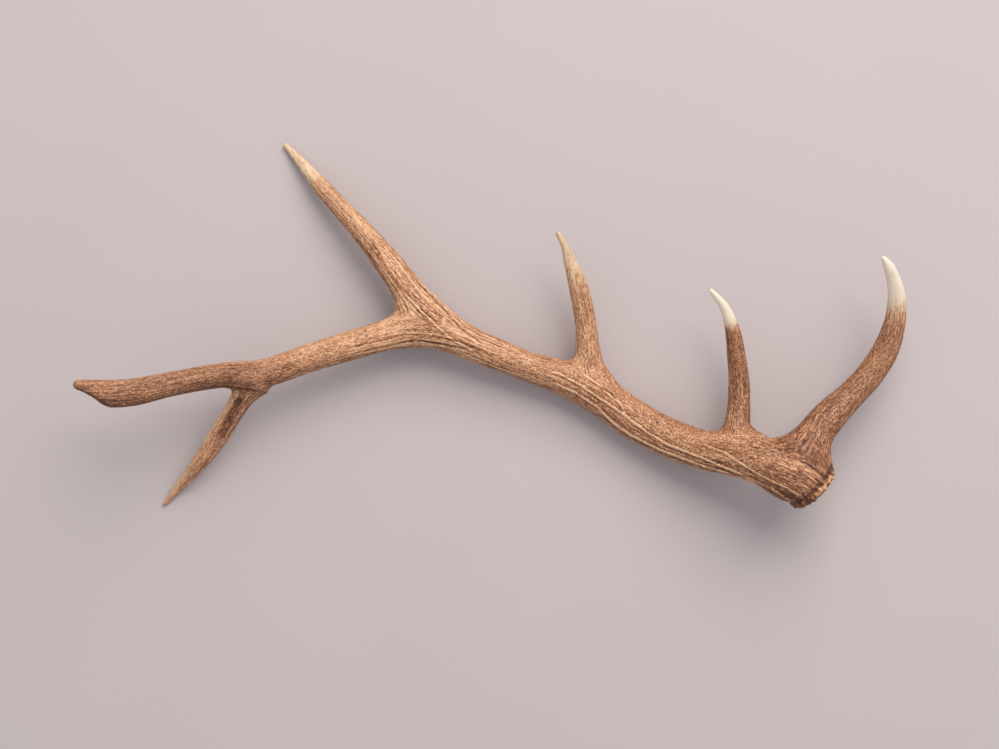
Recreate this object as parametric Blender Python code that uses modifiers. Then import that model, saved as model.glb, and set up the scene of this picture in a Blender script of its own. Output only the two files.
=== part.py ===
"""One shed elk antler, lying on its outer side with the inner side up.

The antler is grown in one surface: every branch is a tube of oval sections along a smooth core,
the tubes are fused with soft crotches at the forks, and the whole is then parted at its main forks.

Frame: +X runs from the beam's worn end to the burr, +Y to the royal tine's tip, +Z up from the table.
The origin is on the table, under the middle of the antler. Stations are in millimetres.
"""

import math

import bmesh
import bpy
import numpy as np
from mathutils import Matrix, Vector

MM = 0.001

# Stations along each branch's core, from its root: x, y, height, width in plan, depth across it.
BEAM = [
    (420, -210.5, 80.5, 63, 60),
    (404, -196, 85, 72, 62),
    (385, -187.5, 83, 74, 60),
    (360.5, -177.5, 76, 64, 57),
    (322, -167.5, 63, 56, 53),
    (279, -161, 46, 51, 51),
    (233, -145.2, 30.5, 51.5, 50),
    (198, -126.5, 25, 51, 49),
    (152.3, -96, 25, 49, 47),
    (101, -68.3, 26, 45, 44),
    (50, -52, 30, 39, 41),
    (-12, -28, 34, 42, 41),
    (-47, -13.3, 37, 45, 41),
    (-80, -9, 40, 39, 38),
    (-116, -9.5, 42, 40, 36),
    (-176, -24, 48, 38, 33),
    (-245, -46, 59, 37, 33),
    (-289, -61, 69, 36, 33),
    (-345, -64.3, 85, 32, 30),
    (-400, -74, 104, 31, 27),
    (-455, -86, 125, 35, 26),
    (-515.5, -87.3, 151, 35, 19.5),
]
TINES = {
    "brow_tine": [
        (384, -190, 84, 40, 44),
        (403, -168, 81, 48, 48),
        (420, -140.5, 75, 45.5, 45),
        (440, -117, 68, 43, 41),
        (467, -92, 60, 37, 35),
        (495, -63, 55, 35, 33),
        (514, -33, 56, 34, 31),
        (524, 3, 68, 28, 26),
        (524, 37, 85, 23, 21),
        (517, 59, 100, 18, 16),
        (508, 76, 113, 13, 12),
        (500, 86, 121, 5, 5),
    ],
    "bez_tine": [
        (355, -178, 70, 36, 36),
        (334.5, -157, 62, 43, 38),
        (323.5, -134, 54, 35, 31),
        (325, -109, 49, 30, 28),
        (326, -80, 47, 28, 27),
        (320.5, -38, 57, 24, 22),
        (316, -11, 66, 20, 18),
        (310, 8.5, 76, 16, 15),
        (301.5, 25, 86, 12, 11),
        (283, 45, 101, 5.5, 5.5),
    ],
    "trez_tine": [
        (172, -112, 26, 34, 34),
        (151, -87, 28, 37, 35),
        (134.5, -58, 31, 37, 32),
        (129, -31, 35, 32, 29),
        (127, -5, 39, 28, 27),
        (119, 38, 51, 26, 24),
        (111, 66, 61, 22, 20),
        (103.5, 86, 69, 15, 14),
        (98, 102, 76, 10, 10),
        (88, 119.5, 83, 6, 6),
    ],
    "royal_tine": [
        (-30, -15, 37, 32, 32),
        (-59, 4, 38, 39, 37),
        (-86, 25, 39, 40, 38),
        (-111, 55, 39, 39, 36),
        (-131, 82, 37, 36, 33),
        (-162, 119, 33, 30, 28),
        (-193, 153.5, 26, 25, 22),
        (-224, 188, 18, 20.5, 17),
        (-249.5, 218, 8.5, 13, 12),
        (-269.5, 240.5, 2.9, 6.5, 6.5),
    ],
    "surroyal_tine": [
        (-270, -59.5, 64.5, 17, 17),
        (-296, -69, 62, 29, 28),
        (-312.5, -85, 58, 29.5, 28),
        (-332.5, -112, 49, 27, 26),
        (-353, -143.5, 38, 26, 24),
        (-382.5, -182.5, 24, 20.5, 19),
        (-392, -194, 18, 17.5, 15),
        (-408.5, -210.5, 8.7, 12.5, 11),
        (-429.5, -235.5, 2.1, 5, 5),
    ],
}
# The middle of the plan, on the table, in the frame of the stations: the origin is moved there.
MIDDLE = (8.5, 3.2, -0.2)
# How softly each tine flows into the beam: the reach of the web in its crotch, and how far along its
# core the web comes to its full reach, so that the beam's far side stays plain.
WEB = {"brow_tine": 36, "bez_tine": 20, "trez_tine": 22, "royal_tine": 44, "surroyal_tine": 28}
ROOTED = {"brow_tine": 30, "bez_tine": 13, "trez_tine": 45, "royal_tine": 65, "surroyal_tine": 32}
# Where each tine is parted from the beam, as a distance along its core from its root.
FORK_AT = {"brow_tine": 85, "bez_tine": 69, "trez_tine": 102, "royal_tine": 94, "surroyal_tine": 60}
# Where the beam itself is parted, just past the royal fork.
BEAM_FORK_AT = 606

# How the shape is made: sides of a tube, distance between its rings, its least half width, the grid that
# fuses the tubes, how often they are fused, the steps that settle the surface each time, and the
# triangles that are left.
SECTION_SIDES = 24
CORE_STEP = 5
LEAST_HALF = 0.8
VOXEL = 2.6
FUSE_ROUNDS = 2
SETTLE_ROUNDS = 5
TRIANGLES = 8600
SLIVER_FACES = 8
SHARP_ANGLE = math.radians(50)
# How far a point moves for a reading of the slope, the least slope that a move is worked out from, and
# the least number that is divided by.
NUDGE = 0.2
LEAST_STEEP = 0.25
SMALLEST = 1e-6
# A branch's distance is worked out this far from its core's bounds, and is FAR beyond that. It is worked
# out for CHUNK points at a time.
CORE_REACH = 60
FAR = 1000
CHUNK = 3000

# The gap between two pieces at a fork, and the width of its cutter, in half widths of the branch.
FORK_GAP = 0.3
FORK_REACH = 3.4

# The burr: a ring of pearls round the flat seal that the antler was shed from.
PEARLS = 38
PEARL_RING_RADIUS = 32.5
PEARL_RADIUS = 3.3
PEARL_HALF_LENGTH = 5.5
PEARL_SET_BACK = 4.5
PEARL_FUSE = 1.5
PEARL_SEED = 7
# How far the pearls differ: round the ring in pearls, across it and along the beam, and in size.
PEARL_TURN = 0.25
PEARL_SHIFT = 1.2
PEARL_STAGGER = (-1.0, 1.5)
PEARL_SIZES = (0.85, 1.2)
PEARL_LENGTHS = (0.85, 1.15)

# The beam's end is worn off slantwise to a shallow hollow: the middle of the worn face, its outward
# direction, the radius of the hollow and the rounding of its rim.
WORN_POINT = (-505.9, -88.7, 145)
WORN_NORMAL = (-0.515, -0.857, 0.0)
WORN_RADIUS = 90
WORN_HOLLOW = 1.5
WORN_ROUNDING = 9

BONE_COLOURS = {
    "lower_beam": (0.36, 0.19, 0.10),
    "upper_beam": (0.38, 0.22, 0.12),
    "brow_tine": (0.46, 0.29, 0.17),
    "bez_tine": (0.48, 0.31, 0.19),
    "trez_tine": (0.46, 0.28, 0.16),
    "royal_tine": (0.42, 0.26, 0.14),
    "surroyal_tine": (0.32, 0.17, 0.09),
}
BONE_ROUGHNESS = 0.55


def clear_scene():
    """Takes away every object that the file opened with."""
    for obj in list(bpy.data.objects):
        bpy.data.objects.remove(obj, do_unlink=True)


def new_collection(name):
    """A new collection, in the scene."""
    collection = bpy.data.collections.new(name)
    bpy.context.scene.collection.children.link(collection)
    return collection


def bone_material(name):
    """The plain bone of one piece."""
    material = bpy.data.materials.new(name + "_bone")
    material.use_nodes = True
    shader = material.node_tree.nodes["Principled BSDF"]
    shader.inputs["Base Color"].default_value = (*BONE_COLOURS[name], 1)
    shader.inputs["Roughness"].default_value = BONE_ROUGHNESS
    shader.inputs["Metallic"].default_value = 0
    return material


def smooth_core(stations):
    """Points, sizes and frames along a Hermite curve through the stations, one every CORE_STEP."""
    knots = np.array(stations, float)
    chords = np.linalg.norm(np.diff(knots[:, :3], axis=0), axis=1)
    at = np.concatenate([[0], np.cumsum(chords)])
    slopes = np.gradient(knots, at, axis=0)
    samples = np.linspace(0, at[-1], int(at[-1] / CORE_STEP) + 1)
    left = np.clip(np.searchsorted(at, samples, side="right") - 1, 0, len(chords) - 1)
    span = chords[left][:, None]
    t = ((samples - at[left]) / chords[left])[:, None]
    rows = (
        (2 * t**3 - 3 * t**2 + 1) * knots[left]
        + (t**3 - 2 * t**2 + t) * span * slopes[left]
        + (3 * t**2 - 2 * t**3) * knots[left + 1]
        + (t**3 - t**2) * span * slopes[left + 1]
    )
    along = np.gradient(rows[:, :3], axis=0)
    along /= np.linalg.norm(along, axis=1, keepdims=True)
    up = np.array([0.0, 0.0, 1.0]) - along * along[:, 2:3]
    up /= np.linalg.norm(up, axis=1, keepdims=True)
    return {
        "centre": rows[:, :3],
        "half": np.maximum(rows[:, 3:5] / 2, LEAST_HALF),
        "along": along,
        "side": np.cross(up, along),
        "up": up,
    }


def oval_distance(points, core):
    """About how far each point is outside the branch, less than 0 inside it, and its place along it."""
    centre = core["centre"]
    segment = np.diff(centre, axis=0)
    length2 = (segment**2).sum(axis=1)
    distance = np.full(len(points), float(FAR))
    along = np.zeros(len(points))
    low = centre.min(axis=0) - CORE_REACH
    high = centre.max(axis=0) + CORE_REACH
    near = np.all((points > low) & (points < high), axis=1)
    for chunk in np.array_split(np.flatnonzero(near), 1 + near.sum() // CHUNK):
        if len(chunk) == 0:
            continue
        p = points[chunk]
        to_start = p[:, None] - centre[None, :-1]
        t = np.clip((to_start * segment).sum(axis=2) / length2, 0, 1)
        miss = ((to_start - t[..., None] * segment) ** 2).sum(axis=2)
        best = miss.argmin(axis=1)
        share = t[np.arange(len(p)), best][:, None]

        def between(values):
            return values[best] * (1 - share) + values[best + 1] * share

        offset = p - between(centre)
        half = between(core["half"])
        across = np.stack(
            [
                (offset * between(core["side"])).sum(axis=1) / half[:, 0],
                (offset * between(core["up"])).sum(axis=1) / half[:, 1],
                (offset * between(core["along"])).sum(axis=1) / half.min(axis=1),
            ],
            axis=1,
        )
        ratio = np.maximum(np.linalg.norm(across, axis=1), SMALLEST)
        distance[chunk] = np.linalg.norm(offset, axis=1) * (1 - 1 / ratio)
        along[chunk] = (best + share[:, 0]) * CORE_STEP
    return distance, along


def soft_union(a, b, reach):
    """The distance to either shape, with a web of the given reach where the two meet."""
    overlap = np.maximum(reach - np.abs(a - b), 0) / reach
    return np.minimum(a, b) - overlap**2 * reach / 4


def soft_cut(a, b, reach):
    """The distance to what both shapes hold, with its edge rounded."""
    return -soft_union(-a, -b, reach)


def pearls(beam_core):
    """Places and half sizes of the burr's pearls, in the burr's own directions."""
    rng = np.random.default_rng(PEARL_SEED)
    burr = beam_core["centre"][0] + beam_core["along"][0] * PEARL_SET_BACK
    side, up = beam_core["side"][0], beam_core["up"][0]
    found = []
    for k in range(PEARLS):
        angle = math.tau * (k + rng.uniform(-PEARL_TURN, PEARL_TURN)) / PEARLS
        size = rng.uniform(*PEARL_SIZES)
        outward = side * math.cos(angle) + up * math.sin(angle)
        place = burr + outward * (PEARL_RING_RADIUS + rng.uniform(-PEARL_SHIFT, PEARL_SHIFT))
        place = place + beam_core["along"][0] * rng.uniform(*PEARL_STAGGER)
        found.append((place, PEARL_RADIUS * size, PEARL_HALF_LENGTH * rng.uniform(*PEARL_LENGTHS)))
    return found


def pearl_distance(points, beam_core, burr_pearls):
    """About how far each point is outside the nearest pearl."""
    along = beam_core["along"][0]
    distance = np.full(len(points), float(FAR))
    near = np.linalg.norm(points - beam_core["centre"][0], axis=1) < CORE_REACH + PEARL_RING_RADIUS
    p = points[near]
    best = np.full(len(p), float(FAR))
    for place, radius, half_length in burr_pearls:
        offset = p - place
        lengthwise = offset @ along
        across = offset - lengthwise[:, None] * along
        squashed = np.sqrt((across**2).sum(axis=1) + (lengthwise * radius / half_length) ** 2)
        best = np.minimum(best, squashed - radius)
    distance[near] = best
    return distance


def worn_distance(points):
    """How far each point is past the hollow of the worn end."""
    outward = np.array(WORN_NORMAL)
    hub = np.array(WORN_POINT) + outward * (WORN_RADIUS - WORN_HOLLOW)
    return WORN_RADIUS - np.linalg.norm(points - hub, axis=1)


def antler_distance(points, cores, burr_pearls):
    """About how far each point is outside the whole antler, with its webs, pearls and worn end."""
    beam = cores["beam"]
    distance, _ = oval_distance(points, beam)
    distance = soft_cut(distance, worn_distance(points), WORN_ROUNDING)
    for name in TINES:
        to_tine, along = oval_distance(points, cores[name])
        reach = 1 + (WEB[name] - 1) * np.clip(along / ROOTED[name], 0, 1) ** 2
        distance = soft_union(distance, to_tine, reach)
    return soft_union(distance, pearl_distance(points, beam, burr_pearls), PEARL_FUSE)


def add_tube(bm, core):
    """A closed tube of oval sections along a core, flat at both ends."""
    rings = []
    for k, centre in enumerate(core["centre"]):
        ring = []
        for j in range(SECTION_SIDES):
            angle = math.tau * j / SECTION_SIDES
            offset = (
                core["side"][k] * core["half"][k, 0] * math.cos(angle)
                + core["up"][k] * core["half"][k, 1] * math.sin(angle)
            )
            ring.append(bm.verts.new(centre + offset))
        rings.append(ring)
    for first, second in zip(rings, rings[1:]):
        for j in range(SECTION_SIDES):
            after = (j + 1) % SECTION_SIDES
            bm.faces.new((first[j], first[after], second[after], second[j]))
    bm.faces.new(rings[0][::-1])
    bm.faces.new(rings[-1])


def cut_flat(bm, point, normal):
    """Takes away what lies beyond a plane, and closes the cut."""
    geometry = bm.verts[:] + bm.edges[:] + bm.faces[:]
    cut = bmesh.ops.bisect_plane(
        bm, geom=geometry, plane_co=point, plane_no=normal, clear_outer=True
    )
    rim = [e for e in cut["geom_cut"] if isinstance(e, bmesh.types.BMEdge)]
    bmesh.ops.holes_fill(bm, edges=rim, sides=0)


def add_pearl(bm, place, radius, half_length, along):
    """A long drop of bone, lying along the beam."""
    turn = Vector((0, 0, 1)).rotation_difference(Vector(along)).to_matrix().to_4x4()
    size = Matrix.Diagonal((radius, radius, half_length, 1))
    matrix = Matrix.Translation(Vector(place)) @ turn @ size
    bmesh.ops.create_icosphere(bm, subdivisions=2, radius=1, matrix=matrix)


def evaluated_mesh(obj):
    """A copy of an object's mesh with its modifiers applied."""
    graph = bpy.context.evaluated_depsgraph_get()
    return bpy.data.meshes.new_from_object(obj.evaluated_get(graph))


def fused(mesh):
    """A copy of a mesh made anew on a fine grid, with all that overlaps in it fused."""
    rough = bpy.data.objects.new("rough_antler", mesh)
    bpy.context.scene.collection.objects.link(rough)
    fuse = rough.modifiers.new("fuse", "REMESH")
    fuse.mode = "VOXEL"
    fuse.voxel_size = VOXEL
    made = evaluated_mesh(rough)
    bpy.data.objects.remove(rough)
    return made


def rough_shape(cores, burr_pearls):
    """Every tube and pearl in one mesh."""
    bm = bmesh.new()
    add_tube(bm, cores["beam"])
    cut_flat(bm, WORN_POINT, WORN_NORMAL)
    for name in TINES:
        add_tube(bm, cores[name])
    for place, radius, half_length in burr_pearls:
        add_pearl(bm, place, radius, half_length, cores["beam"]["along"][0])
    bmesh.ops.recalc_face_normals(bm, faces=bm.faces)
    mesh = bpy.data.meshes.new("rough_antler")
    bm.to_mesh(mesh)
    bm.free()
    return mesh


def settle_on_surface(mesh, cores, burr_pearls):
    """Moves each vertex onto the smooth surface of the fused branches."""
    points = np.empty(len(mesh.vertices) * 3)
    mesh.vertices.foreach_get("co", points)
    points = points.reshape(-1, 3)
    for _ in range(SETTLE_ROUNDS):
        here = antler_distance(points, cores, burr_pearls)
        slope = np.empty_like(points)
        for axis in range(3):
            moved = points.copy()
            moved[:, axis] += NUDGE
            slope[:, axis] = (antler_distance(moved, cores, burr_pearls) - here) / NUDGE
        steep = np.maximum((slope**2).sum(axis=1), LEAST_STEEP)
        shift = slope * (here / steep)[:, None]
        length = np.linalg.norm(shift, axis=1, keepdims=True)
        points -= shift * np.minimum(1, VOXEL / np.maximum(length, SMALLEST))
    mesh.vertices.foreach_set("co", points.ravel())
    mesh.update()


def whole_antler(cores):
    """The antler in one piece, with the flat seal cut at the burr."""
    burr_pearls = pearls(cores["beam"])
    mesh = rough_shape(cores, burr_pearls)
    for _ in range(FUSE_ROUNDS):
        mesh = fused(mesh)
        settle_on_surface(mesh, cores, burr_pearls)
    whole = bpy.data.objects.new("whole_antler", mesh)
    bpy.context.scene.collection.objects.link(whole)
    thin_out = whole.modifiers.new("thin_out", "DECIMATE")
    thin_out.ratio = TRIANGLES / (2 * len(mesh.polygons))
    thinned = evaluated_mesh(whole)
    bpy.data.objects.remove(whole)
    bm = bmesh.new()
    bm.from_mesh(thinned)
    beam = cores["beam"]
    cut_flat(bm, Vector(beam["centre"][0]), Vector(-beam["along"][0]))
    bm.to_mesh(thinned)
    bm.free()
    return thinned


def fork_slab(name, core, at, cutters):
    """A thin slab square across a core, which parts the branch there."""
    k = at // CORE_STEP
    reach = FORK_REACH * core["half"][k].max()
    bm = bmesh.new()
    bmesh.ops.create_cube(bm, size=1)
    bmesh.ops.scale(bm, vec=(reach, reach, FORK_GAP), verts=bm.verts)
    mesh = bpy.data.meshes.new(name)
    bm.to_mesh(mesh)
    bm.free()
    slab = bpy.data.objects.new(name, mesh)
    slab.location = core["centre"][k]
    slab.rotation_mode = "QUATERNION"
    slab.rotation_quaternion = Vector((0, 0, 1)).rotation_difference(Vector(core["along"][k]))
    slab.hide_render = True
    slab.display_type = "WIRE"
    cutters.objects.link(slab)
    return slab


def part_at_forks(mesh, cores, cutters):
    """Cuts the antler at its forks, and returns the mesh of all the pieces."""
    whole = bpy.data.objects.new("whole_antler", mesh)
    bpy.context.scene.collection.objects.link(whole)
    places = [("beam", BEAM_FORK_AT)] + list(FORK_AT.items())
    for name, at in places:
        part = whole.modifiers.new(name, "BOOLEAN")
        part.operation = "DIFFERENCE"
        part.object = fork_slab(name + "_fork", cores[name], at, cutters)
    parted = evaluated_mesh(whole)
    bpy.data.objects.remove(whole)
    return parted


def loose_pieces(mesh):
    """The separate pieces of a mesh as lists of face numbers, without slivers of a few faces."""
    owner = np.arange(len(mesh.vertices))

    def root(v):
        while owner[v] != v:
            owner[v] = owner[owner[v]]
            v = owner[v]
        return v

    for edge in mesh.edges:
        owner[root(edge.vertices[0])] = root(edge.vertices[1])
    pieces = {}
    for face in mesh.polygons:
        pieces.setdefault(root(face.vertices[0]), []).append(face.index)
    return [faces for faces in pieces.values() if len(faces) > SLIVER_FACES]


def piece_object(name, mesh, faces, place, material, collection):
    """One piece as an object of its own, in metres, with its origin at the given place."""
    bm = bmesh.new()
    made = {}
    for index in faces:
        corners = mesh.polygons[index].vertices
        for v in corners:
            if v not in made:
                made[v] = bm.verts.new(mesh.vertices[v].co - Vector(place))
        bm.faces.new([made[v] for v in corners])
    bmesh.ops.scale(bm, vec=(MM, MM, MM), verts=bm.verts)
    piece = bpy.data.meshes.new(name)
    bm.to_mesh(piece)
    bm.free()
    piece.shade_smooth()
    piece.set_sharp_from_angle(angle=SHARP_ANGLE)
    piece.materials.append(material)
    obj = bpy.data.objects.new(name, piece)
    obj.location = (Vector(place) - Vector(MIDDLE)) * MM
    collection.objects.link(obj)


def name_of_piece(mesh, faces, cores):
    """The branch that a piece belongs to: the one whose far end is nearest to it."""
    corners = {v for index in faces for v in mesh.polygons[index].vertices}
    points = np.array([mesh.vertices[v].co for v in corners])
    ends = {name: cores[name]["centre"][-1] for name in TINES}
    ends["lower_beam"] = cores["beam"]["centre"][0]
    ends["upper_beam"] = np.array(WORN_POINT, float)
    return min(ends, key=lambda name: np.linalg.norm(points - ends[name], axis=1).min())


def main():
    """Grows the antler, parts it at its forks and makes an object of each piece."""
    clear_scene()
    antler = new_collection("elk_antler")
    cutters = new_collection("cutters")
    cores = {"beam": smooth_core(BEAM)}
    cores.update({name: smooth_core(stations) for name, stations in TINES.items()})
    parted = part_at_forks(whole_antler(cores), cores, cutters)
    places = {name: cores[name]["centre"][at // CORE_STEP] for name, at in FORK_AT.items()}
    places["lower_beam"] = cores["beam"]["centre"][0]
    places["upper_beam"] = cores["beam"]["centre"][BEAM_FORK_AT // CORE_STEP]
    for faces in loose_pieces(parted):
        name = name_of_piece(parted, faces, cores)
        piece_object(name, parted, faces, places[name], bone_material(name), antler)


main()
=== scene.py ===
"""One shed elk antler, dressed in its grooved bone, on a pale floor.

The antler lies on its outer side and the camera looks straight down on it. Its surface is grown again, finer
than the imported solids, from the same branches, and then carries its grooves, veins, pebbles and pearls.
It is grown in millimetres, and its mesh is in metres.
"""

import itertools
import logging
import math
from dataclasses import dataclass, field
from enum import Enum

import bmesh
import bpy
import numpy as np
from mathutils import Matrix, Vector


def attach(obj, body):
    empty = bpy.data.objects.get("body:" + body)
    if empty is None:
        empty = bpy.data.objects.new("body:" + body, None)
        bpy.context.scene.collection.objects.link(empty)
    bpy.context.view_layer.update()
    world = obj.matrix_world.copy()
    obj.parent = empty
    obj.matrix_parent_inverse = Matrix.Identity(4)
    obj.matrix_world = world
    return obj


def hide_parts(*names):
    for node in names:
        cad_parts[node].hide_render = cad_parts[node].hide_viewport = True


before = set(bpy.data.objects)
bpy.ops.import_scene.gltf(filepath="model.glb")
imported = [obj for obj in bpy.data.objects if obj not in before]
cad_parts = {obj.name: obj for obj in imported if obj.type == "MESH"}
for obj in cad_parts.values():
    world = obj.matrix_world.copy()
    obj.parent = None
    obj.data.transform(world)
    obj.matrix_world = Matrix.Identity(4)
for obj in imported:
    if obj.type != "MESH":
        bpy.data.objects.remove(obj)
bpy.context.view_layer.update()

LOG = logging.getLogger("antler")
MM = 0.001
FAR = 1000.0
# The middle of the plan, on the floor, in the frame that the branches are grown in.
MIDDLE = (8.5, 3.2, -0.2)

# How wide the seam is where a tine's grain takes over, and how far apart the tines' grains are laid.
GRAIN_SEAM = (-7, 7)
GRAIN_GAP = 900.0
# How far a point has to look up to be on the upper side, and down to be on the lined side.
UPPER_SIDE = (0.05, 0.4)
LINED_SIDE = (0.1, 0.6)
# The relief that counts as full, and the height of the grit on the seal and on the worn end.
FULL_RELIEF = 0.8
SEAL_GRIT = 0.55
END_GRIT = 0.35

Array = np.ndarray
Colour = tuple[float, float, float]


def smooth(low: float, high: float, values: Array) -> Array:
    """An even rise from 0 to 1.

    Args:
        low: Where the rise starts.
        high: Where it ends. It is less than low for a fall.
        values: What is looked at.

    Returns:
        0 before low and 1 after high, for each value.
    """
    t = np.clip((values - low) / (high - low), 0, 1)
    return t * t * (3 - 2 * t)


def soft_union(a: Array, b: Array, reach: Array | float) -> Array:
    """Joins two shapes with a web between them.

    Args:
        a: Distance to the first shape.
        b: Distance to the second.
        reach: How far the web spreads.

    Returns:
        The distance to either shape.
    """
    overlap = np.maximum(reach - np.abs(a - b), 0) / reach
    return np.minimum(a, b) - overlap**2 * reach / 4


def soft_cut(a: Array, b: Array, reach: float) -> Array:
    """Keeps what two shapes both hold, with its edge rounded.

    Args:
        a: Distance to the first shape.
        b: Distance to the second.
        reach: How round the edge is.

    Returns:
        The distance to what is left.
    """
    return -soft_union(-a, -b, reach)


def modified(mesh: bpy.types.Mesh, kind: str, **settings: object) -> bpy.types.Mesh:
    """Puts a mesh through one modifier.

    Args:
        mesh: The mesh, which stays as it is.
        kind: The modifier's type.
        settings: The modifier's own settings.

    Returns:
        The mesh that comes out.
    """
    holder = bpy.data.objects.new("holder", mesh)
    bpy.context.scene.collection.objects.link(holder)
    modifier = holder.modifiers.new(kind, kind)
    for name, value in settings.items():
        setattr(modifier, name, value)
    graph = bpy.context.evaluated_depsgraph_get()
    made = bpy.data.meshes.new_from_object(holder.evaluated_get(graph))
    bpy.data.objects.remove(holder)
    return made


def corners_of(mesh: bpy.types.Mesh) -> Array:
    """The places of a mesh's vertices, one row each."""
    points = np.empty(len(mesh.vertices) * 3)
    mesh.vertices.foreach_get("co", points)
    return points.reshape(-1, 3)


class TipWear(Enum):
    """How far a tine's tip is polished down to the ivory."""

    IVORY = 1.0
    CREAM = 0.64
    STAINED = 0.25


class Noise:
    """Smooth noise in space, between about -1 and 1."""

    def __init__(self, seed: int) -> None:
        """Draws the slopes of the lattice.

        Args:
            seed: Which noise it is.
        """
        rng = np.random.default_rng(seed)
        self.order = rng.permutation(256)
        slopes = rng.normal(size=(256, 3))
        self.slopes = slopes / np.linalg.norm(slopes, axis=1, keepdims=True)

    def __call__(self, points: Array) -> Array:
        """Reads the noise.

        Args:
            points: Where, in lattice cells.

        Returns:
            One value for each point.
        """
        cell = np.floor(points).astype(int)
        inside = points - cell
        fade = inside**3 * (inside * (inside * 6 - 15) + 10)
        total = np.zeros(len(points))
        for corner in itertools.product((0, 1), repeat=3):
            x, y, z = ((cell + corner) & 255).T
            which = self.order[(self.order[(self.order[x] + y) & 255] + z) & 255]
            rise = ((inside - corner) * self.slopes[which]).sum(axis=1)
            total += rise * np.where(corner, fade, 1 - fade).prod(axis=1)
        return total * 1.7


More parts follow.
